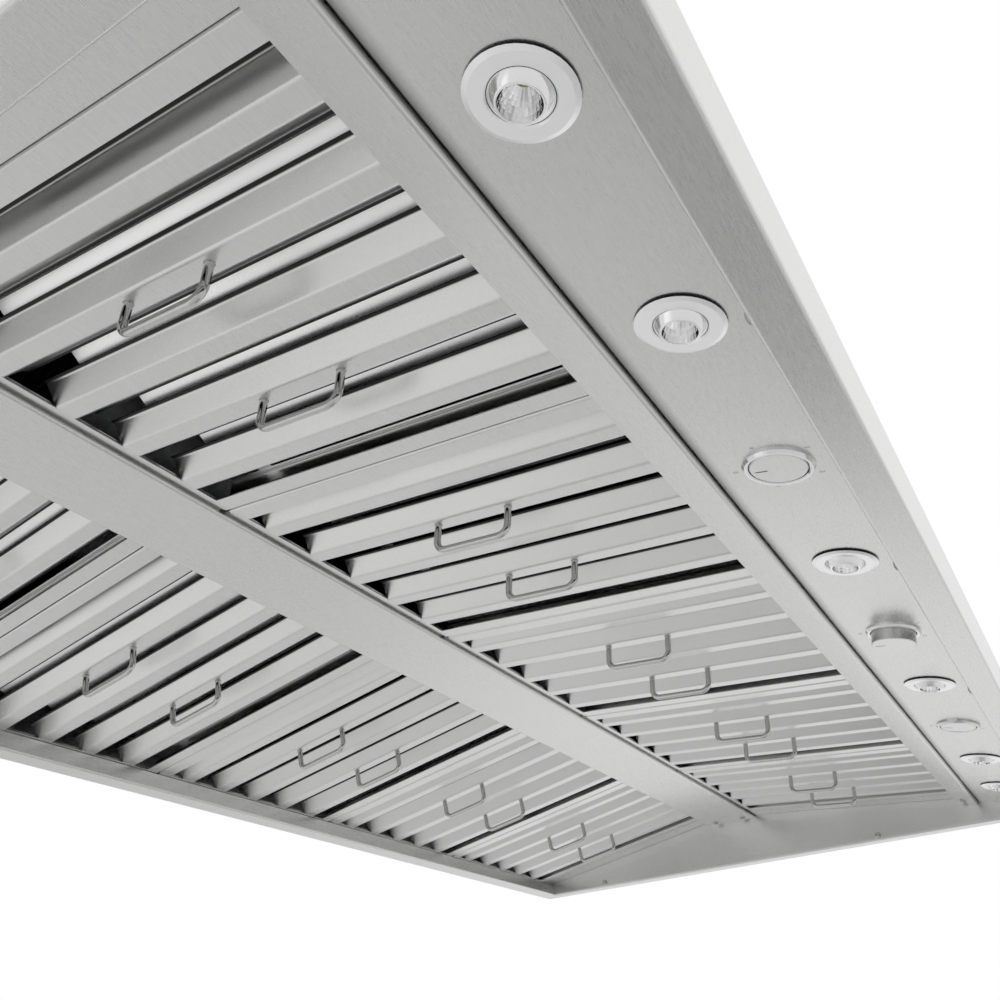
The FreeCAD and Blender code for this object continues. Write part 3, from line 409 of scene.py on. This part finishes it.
def buildStudio(settings):
    world = bpy.data.worlds.new("studioWorld")
    bpy.context.scene.world = world
    world.use_nodes = True
    shade = world.node_tree.nodes["Background"]
    shade.inputs["Color"].default_value = (*settings["sky"], 1.0)
    shade.inputs["Strength"].default_value = settings["skyStrength"]
    low = cadBox[0][2] - settings["floorDrop"]
    half = settings["floorSize"] / 2
    corners = [(-half, -half, low), (half, -half, low), (half, half, low), (-half, half, low)]
    stagedPlane("floor", corners, floorCoat(settings))
    for name, screen in settings["screens"].items():
        cloth = mouldedCoat(name + "Cloth", dict(settings["cloth"], colors=screen["colors"]))
        plane = stagedPlane(name, screen["corners"], cloth)
        plane.visible_camera = False  # only reflections show it
        plane.visible_diffuse = False
        plane.visible_shadow = False

buildStudio(studioSet)
bpy.context.scene.view_settings.view_transform = "Standard"
print("studio lit")


# metal finishes, each written as what it changes in another
sheetSet = {
    "colors": ((0.63, 0.63, 0.625), (0.73, 0.73, 0.725)),
    "rough": (0.23, 0.32),
    "wiped": 0.03,
    "stretch": 0.45,
    "fineGrain": (90.0, 2200.0, 2200.0),
    "broadGrain": (24.0, 600.0, 600.0),
    "cloudScale": 6.0,
    "grainAxis": "X",
    "bump": 0.07,
    # near-black painted shade for the faces inside the plenum
    "plenumShade": (0.012, 0.012, 0.012),
}
baffleSet = dict(sheetSet, colors=((0.64, 0.64, 0.635), (0.78, 0.78, 0.775)),
                 rough=(0.25, 0.33), plenumShade=None, bump=0.08)
wireSet = dict(sheetSet, colors=((0.50, 0.50, 0.495), (0.62, 0.62, 0.615)),
               rough=(0.03, 0.07), stretch=0.0, fineGrain=(900.0, 900.0, 900.0),
               broadGrain=(160.0, 160.0, 160.0), plenumShade=None, bump=0.06)
chromeSet = dict(wireSet, colors=((0.74, 0.74, 0.74), (0.84, 0.84, 0.84)), bump=0.02)
mirrorSet = dict(chromeSet, colors=((0.90, 0.90, 0.90), (0.96, 0.96, 0.96)),
                 rough=(0.05, 0.09), bump=0.004)
steelSet = dict(wireSet, colors=((0.46, 0.46, 0.455), (0.58, 0.58, 0.575)),
                rough=(0.16, 0.26), bump=0.12)
beadSet = dict(wireSet, colors=((0.26, 0.255, 0.25), (0.44, 0.435, 0.43)),
               rough=(0.18, 0.3), bump=0.3)
knobSet = dict(sheetSet, colors=((0.64, 0.64, 0.635), (0.74, 0.74, 0.735)), plenumShade=None)

# moulded, cast and painted finishes
# the trim's upright faces carry near-black painted shade for the gap against the strip
trimSet = {"metallic": 0.9, "pebble": 1500.0, "colors": ((0.93, 0.93, 0.93), (0.98, 0.98, 0.98)),
           "rough": (0.28, 0.38), "bump": 0.12, "gapShade": (0.015, 0.015, 0.015)}
canSet = {"metallic": 0.8, "pebble": 900.0, "colors": ((0.30, 0.30, 0.31), (0.42, 0.42, 0.43)),
          "rough": (0.4, 0.55), "bump": 0.3}
motorSet = {"pebble": 1200.0, "colors": ((0.03, 0.03, 0.03), (0.07, 0.07, 0.07)),
            "rough": (0.25, 0.4), "bump": 0.2}
switchSet = {"pebble": 2200.0, "colors": ((0.02, 0.02, 0.02), (0.05, 0.05, 0.05)),
             "rough": (0.4, 0.55), "bump": 0.3}
driverSet = {"pebble": 2200.0, "colors": ((0.70, 0.70, 0.69), (0.82, 0.82, 0.81)),
             "rough": (0.35, 0.5), "bump": 0.25}
emitterSet = {"pebble": 1600.0, "colors": ((0.78, 0.74, 0.50), (0.92, 0.89, 0.70)),
              "rough": (0.35, 0.5), "bump": 0.4}
inkSet = {"pebble": 3000.0, "colors": ((0.28, 0.28, 0.28), (0.36, 0.36, 0.36)),
          "rough": (0.4, 0.5), "bump": 0.2}
markSet = {"pebble": 3000.0, "colors": ((0.03, 0.03, 0.03), (0.06, 0.06, 0.06)),
           "rough": (0.3, 0.4), "bump": 0.2}

# a finish for each slot, and a node's own where it differs
finishes = {
    "stainless_sheet": brushedMetal("brushedSheet", sheetSet),
    "filter_steel": brushedMetal("frontBaffle", dict(baffleSet, row="front")),
    "handle_wire": brushedMetal("polishedWire", wireSet),
    "screw_steel": brushedMetal("screwSteel", steelSet),
    "lamp_trim": mouldedCoat("satinTrim", trimSet),
    "reflector": brushedMetal("brightReflector", mirrorSet),
    "polished_chrome": brushedMetal("bezelChrome", chromeSet),
    "knob_steel": brushedMetal("knobFace", knobSet),
    "plain_steel": brushedMetal("turnedSteel", steelSet),
    "impeller_metal": brushedMetal("pressedBlade", steelSet),
    "galvanised": zincCoat("zincSheet", zincSet),
    "lamp_can": mouldedCoat("castCan", canSet),
    "motor_paint": mouldedCoat("motorEnamel", motorSet),
    "switch_plastic": mouldedCoat("blackMoulding", switchSet),
    "driver_case": mouldedCoat("whiteMoulding", driverSet),
    "emitter": mouldedCoat("phosphor", emitterSet),
}
# the strip's own finish carries the painted shade along its rear edge
ownFinish = {"control_panel": brushedMetal("stripSheet", dict(sheetSet, foldShade=True))}
rearBaffle = brushedMetal("rearBaffle", dict(baffleSet, row="rear"))
ownFinish.update(("filter_rear_%d" % number, rearBaffle) for number in range(1, 6))
for name, thing in nodes.items():
    for slot in thing.material_slots:
        slot.material = ownFinish.get(name, finishes[slotOf[name]])
inkCoat = mouldedCoat("printedInk", inkSet)
markCoat = mouldedCoat("markEnamel", markSet)
weldMetal = brushedMetal("weldBead", beadSet)
print("finishes laid")


# helpers that build meshes
def addPiece(name, bm, material, body):
    mesh = bpy.data.meshes.new(name)
    bm.normal_update()
    bm.to_mesh(mesh)
    bm.free()
    mesh.materials.append(material)
    piece = bpy.data.objects.new(name, mesh)
    bpy.context.scene.collection.objects.link(piece)
    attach(piece, body)
    return piece

# axes with z along out and x as near to across as that allows
def frameAt(point, out, across=sideways):
    z = Vector(out).normalized()
    x = Vector(across)
    x = (x - z * x.dot(z)).normalized()
    turn = Matrix((x, z.cross(x), z)).transposed().to_4x4()
    return Matrix.Translation(point) @ turn

# turn (radius, height) points about z; a radius of 0 closes the end
def turnProfile(bm, profile, count, place, smooth=True, ripple=None):
    rings = []
    for row, (radius, height) in enumerate(profile):
        if radius == 0:
            rings.append([bm.verts.new(place @ Vector((0, 0, height)))])
            continue
        ring = []
        for step in range(count):
            angle = 2 * math.pi * step / count
            reach = radius * (1 + ripple(angle, row)) if ripple else radius
            point = Vector((reach * math.cos(angle), reach * math.sin(angle), height))
            ring.append(bm.verts.new(place @ point))
        rings.append(ring)
    for low, high in zip(rings, rings[1:]):
        for step in range(count):
            after = (step + 1) % count
            if len(low) == 1:
                corners = (low[0], high[after], high[step])
            elif len(high) == 1:
                corners = (low[step], low[after], high[0])
            else:
                corners = (low[step], low[after], high[after], high[step])
            bm.faces.new(corners).smooth = smooth

# faces of each separate solid of a mesh, as (middle, normal, area, corners)
def meshIslands(mesh, gap=1e-7):
    bm = bmesh.new()
    bm.from_mesh(mesh)
    bmesh.ops.remove_doubles(bm, verts=bm.verts, dist=gap)
    bm.faces.index_update()
    seen = set()
    islands = []
    for first in bm.faces:  # by index, so that every run adds up in the same order
        if first.index in seen:
            continue
        seen.add(first.index)
        group, front = [], [first]
        while front:
            face = front.pop()
            corners = [corner.co.copy() for corner in face.verts]
            middle = face.calc_center_median().copy()
            group.append((middle, face.normal.copy(), face.calc_area(), corners))
            for edge in face.edges:
                for other in edge.link_faces:
                    if other.index not in seen:
                        seen.add(other.index)
                        front.append(other)
        islands.append(group)
    bm.free()
    return sorted(islands, key=lambda group: tuple(round(v, 6) for v in islandMiddle(group)))

def islandMiddle(group):
    return sum((middle for middle, normal, area, corners in group), Vector()) / len(group)


# lamp reflectors: a turned nose, and a cup of flat bright flutes inside it
reflectorSet = {
    "steps": (-4, -3, -1, 1, 3, 4),
    "nose": ((13.8, -1.2), (13.8, 1.3), (13.5, 1.7), (10.5, 5.3), (10.1, 5.6), (9.6, 5.65),
             (9.2, 5.45)),
    "cup": ((9.2, 5.45), (8.8, 2.2), (7.9, -1.6), (6.4, -5.4), (4.5, -9.0)),
    "back": ((4.5, -9.0), (4.5, -9.8), (5.3, -9.8), (10.0, -1.2), (13.8, -1.2)),
    "noseCount": 64,
    "flutes": 28,
}

def buildReflectors(settings):
    bm = bmesh.new()
    for step in settings["steps"]:
        spot = Vector((stripPitch * step, knobSpots[1].y, knobSpots[1].z))
        place = frameAt(spot, stripOut) @ Matrix.Scale(mm, 4)
        turnProfile(bm, settings["nose"], settings["noseCount"], place)
        turnProfile(bm, settings["cup"], settings["flutes"], place, smooth=False)
        turnProfile(bm, settings["back"], settings["noseCount"], place)
    piece = addPiece("reflectorCups", bm, finishes["reflector"], "hood_body")
    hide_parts("lamp_reflectors")

buildReflectors(reflectorSet)
print("reflectors turned")


# pan head screws with a cross recess, on the places of the CAD screws
screwSet = {
    "shank": ((0.0, -5.5), (1.6, -5.5), (2.0, -5.1), (2.0, 0.0)),
    "head": ((2.0, 0.0), (4.2, 0.0), (4.3, 0.15), (4.3, 0.85)),
    "domeTop": 2.2,
    "domeEdge": 0.85,
    "domePower": 1.4,
    "radius": 4.3,
    "arm": 2.5,
    "armWidth": 0.5,
    "armFall": 0.55,  # share of the recess lost at an arm's tip
    "recess": 1.3,
    "turnStep": 0.9,  # each screw is turned this much further than the last
    "lying": 0.5,  # a screw that rises less than this lies on its side
    "rings": 14,
    "count": 48,
}

# each screw's seat and direction, from the flat under its head
def screwPlaces():
    places = []
    for group in meshIslands(nodes["screws"].data):
        flats = {}
        for middle, normal, area, corners in group:
            key = tuple(round(v, 2) for v in normal)
            flats.setdefault(key, []).append((area, corners))
        under = max(flats, key=lambda key: sum(area for area, corners in flats[key]))
        out = -Vector(under).normalized()
        seat = max(corner.dot(out) for area, corners in flats[under] for corner in corners)
        middle = islandMiddle(group)
        places.append((middle + out * (seat - middle.dot(out)), out))
    return places

def buildScrews(settings):
    bm = bmesh.new()
    top, edge, radius = settings["domeTop"], settings["domeEdge"], settings["radius"]
    arm, count = settings["arm"], settings["count"]

    def domeHeight(x, y):
        share = (x * x + y * y) / (radius * radius)
        height = edge + (top - edge) * (1 - share ** settings["domePower"])
        for along, off in ((x, y), (y, x)):
            if abs(along) < arm and abs(off) < settings["armWidth"]:
                depth = settings["recess"] * (1 - settings["armFall"] * abs(along) / arm)
                height = min(height, top - depth)
        return height

    for index, (seat, out) in enumerate(screwPlaces()):
        across = (0, 0, 1) if abs(out.z) < settings["lying"] else sideways
        turn = Matrix.Rotation(settings["turnStep"] * index, 4, "Z")
        place = frameAt(seat, out, across) @ turn @ Matrix.Scale(mm, 4)
        turnProfile(bm, settings["shank"], count // 2, place)
        turnProfile(bm, settings["head"], count, place)
        rings = [[bm.verts.new(place @ Vector((0, 0, domeHeight(0, 0))))]]
        for row in range(1, settings["rings"] + 1):
            reach = radius * row / settings["rings"]
            ring = []
            for step in range(count):
                angle = 2 * math.pi * step / count
                x, y = reach * math.cos(angle), reach * math.sin(angle)
                ring.append(bm.verts.new(place @ Vector((x, y, domeHeight(x, y)))))
            rings.append(ring)
        for inner, outer in zip(rings, rings[1:]):
            for step in range(count):
                after = (step + 1) % count
                near = (inner[step], inner[after]) if len(inner) > 1 else (inner[0],)
                bm.faces.new((outer[step], outer[after], *reversed(near)))
    piece = addPiece("crossScrews", bm, finishes["screw_steel"], "hood_body")
    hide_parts("screws")

buildScrews(screwSet)
print("screws turned")


# dark enamel in each knob's groove, and the numbers printed round each bezel
dialSet = {
    "markSize": (1.1, 7.7, 0.3),
    "markBevel": 0.1,
    "bevelSteps": 2,
    "markReach": 11.0,
    "markSink": 0.06,
    "numbers": ("0", "1", "2", "3", "4"),
    "numberStep": 72.0,
    "numberReach": 27.6,
    "numberHeight": 3.4,
    "sizePerHeight": 1.4,
    "inkLift": 0.03,
    "inkThick": 0.02,
}

def buildMarks(settings):
    width, length, depth = settings["markSize"]
    for number, spot in enumerate(knobSpots, 1):
        cap = nodes["knob_%d_cap" % number].data
        face = max((corner.co - spot).dot(stripOut) for corner in cap.vertices)
        bm = bmesh.new()
        bmesh.ops.create_cube(bm, size=1.0)
        bmesh.ops.scale(bm, verts=bm.verts, vec=(width * mm, length * mm, depth * mm))
        bmesh.ops.bevel(bm, geom=bm.edges, offset=settings["markBevel"] * mm,
                        segments=settings["bevelSteps"], affect="EDGES")
        level = face - (settings["markSink"] + depth / 2) * mm
        middle = spot + stripOut * level + rearward * settings["markReach"] * mm
        bmesh.ops.transform(bm, verts=bm.verts, matrix=frameAt(middle, stripOut))
        addPiece("knobMark%d" % number, bm, markCoat, "knob_%d" % number)

def buildNumbers(settings):
    bm = bmesh.new()
    for spot in knobSpots:
        for index, text in enumerate(settings["numbers"]):
            curve = bpy.data.curves.new("dialNumber", "FONT")
            curve.body = text
            curve.size = settings["numberHeight"] * mm * settings["sizePerHeight"]
            curve.align_x, curve.align_y = "CENTER", "CENTER"
            curve.extrude = settings["inkThick"] * mm / 2
            holder = bpy.data.objects.new("dialNumber", curve)
            flat = bpy.data.meshes.new_from_object(holder)
            angle = math.radians(settings["numberStep"] * index)
            away = rearward * math.cos(angle) + sideways * math.sin(angle)
            lift = stripOut * settings["inkLift"] * mm
            middle = spot + away * settings["numberReach"] * mm + lift
            flat.transform(frameAt(middle, stripOut))
            bm.from_mesh(flat)
            bpy.data.objects.remove(holder)
            bpy.data.curves.remove(curve)
            bpy.data.meshes.remove(flat)
    addPiece("dialNumbers", bm, inkCoat, "hood_body")

buildMarks(dialSet)
buildNumbers(dialSet)
print("dials marked")


# small weld beads round the feet of every handle
weldSet = {
    "profile": ((3.05, 0.02), (2.9, 0.1), (2.74, 0.28), (2.65, 0.48), (2.58, 0.7)),
    "count": 28,
    "ripple": 0.02,
    "lobes": 5,
    "footGap": 1e-5,
}

# the middle of each foot's end face, where a handle meets its filter
def handleFeet(name, up, along, gap):
    feet = []
    for group in meshIslands(nodes[name + "_handles"].data):
        points = [corner for middle, normal, area, corners in group for corner in corners]
        top = max(point.dot(up) for point in points)
        ends = [point for point in points if point.dot(up) > top - gap]
        middle = sum(ends, Vector()) / len(ends)
        for side in (-1, 1):
            near = [point for point in ends if (point - middle).dot(along) * side > 0]
            reach = [point.dot(along) for point in near]
            feet.append(middle + along * ((min(reach) + max(reach)) / 2 - middle.dot(along)))
    return feet

def buildWelds(settings):
    filters = [name for name in nodes if name.startswith("filter_")]
    for name in sorted(name for name in filters if not name.endswith("_handles")):
        along, up = filterAxes(name)
        bm = bmesh.new()
        for index, foot in enumerate(handleFeet(name, up, along, settings["footGap"])):
            def ripple(angle, row):
                wave = math.sin(settings["lobes"] * angle + index)
                return settings["ripple"] * wave * math.cos(row)

            place = frameAt(foot, -up) @ Matrix.Scale(mm, 4)
            turnProfile(bm, settings["profile"], settings["count"], place, ripple=ripple)
        addPiece(name + "Welds", bm, weldMetal, name)

buildWelds(weldSet)
print("welds laid")
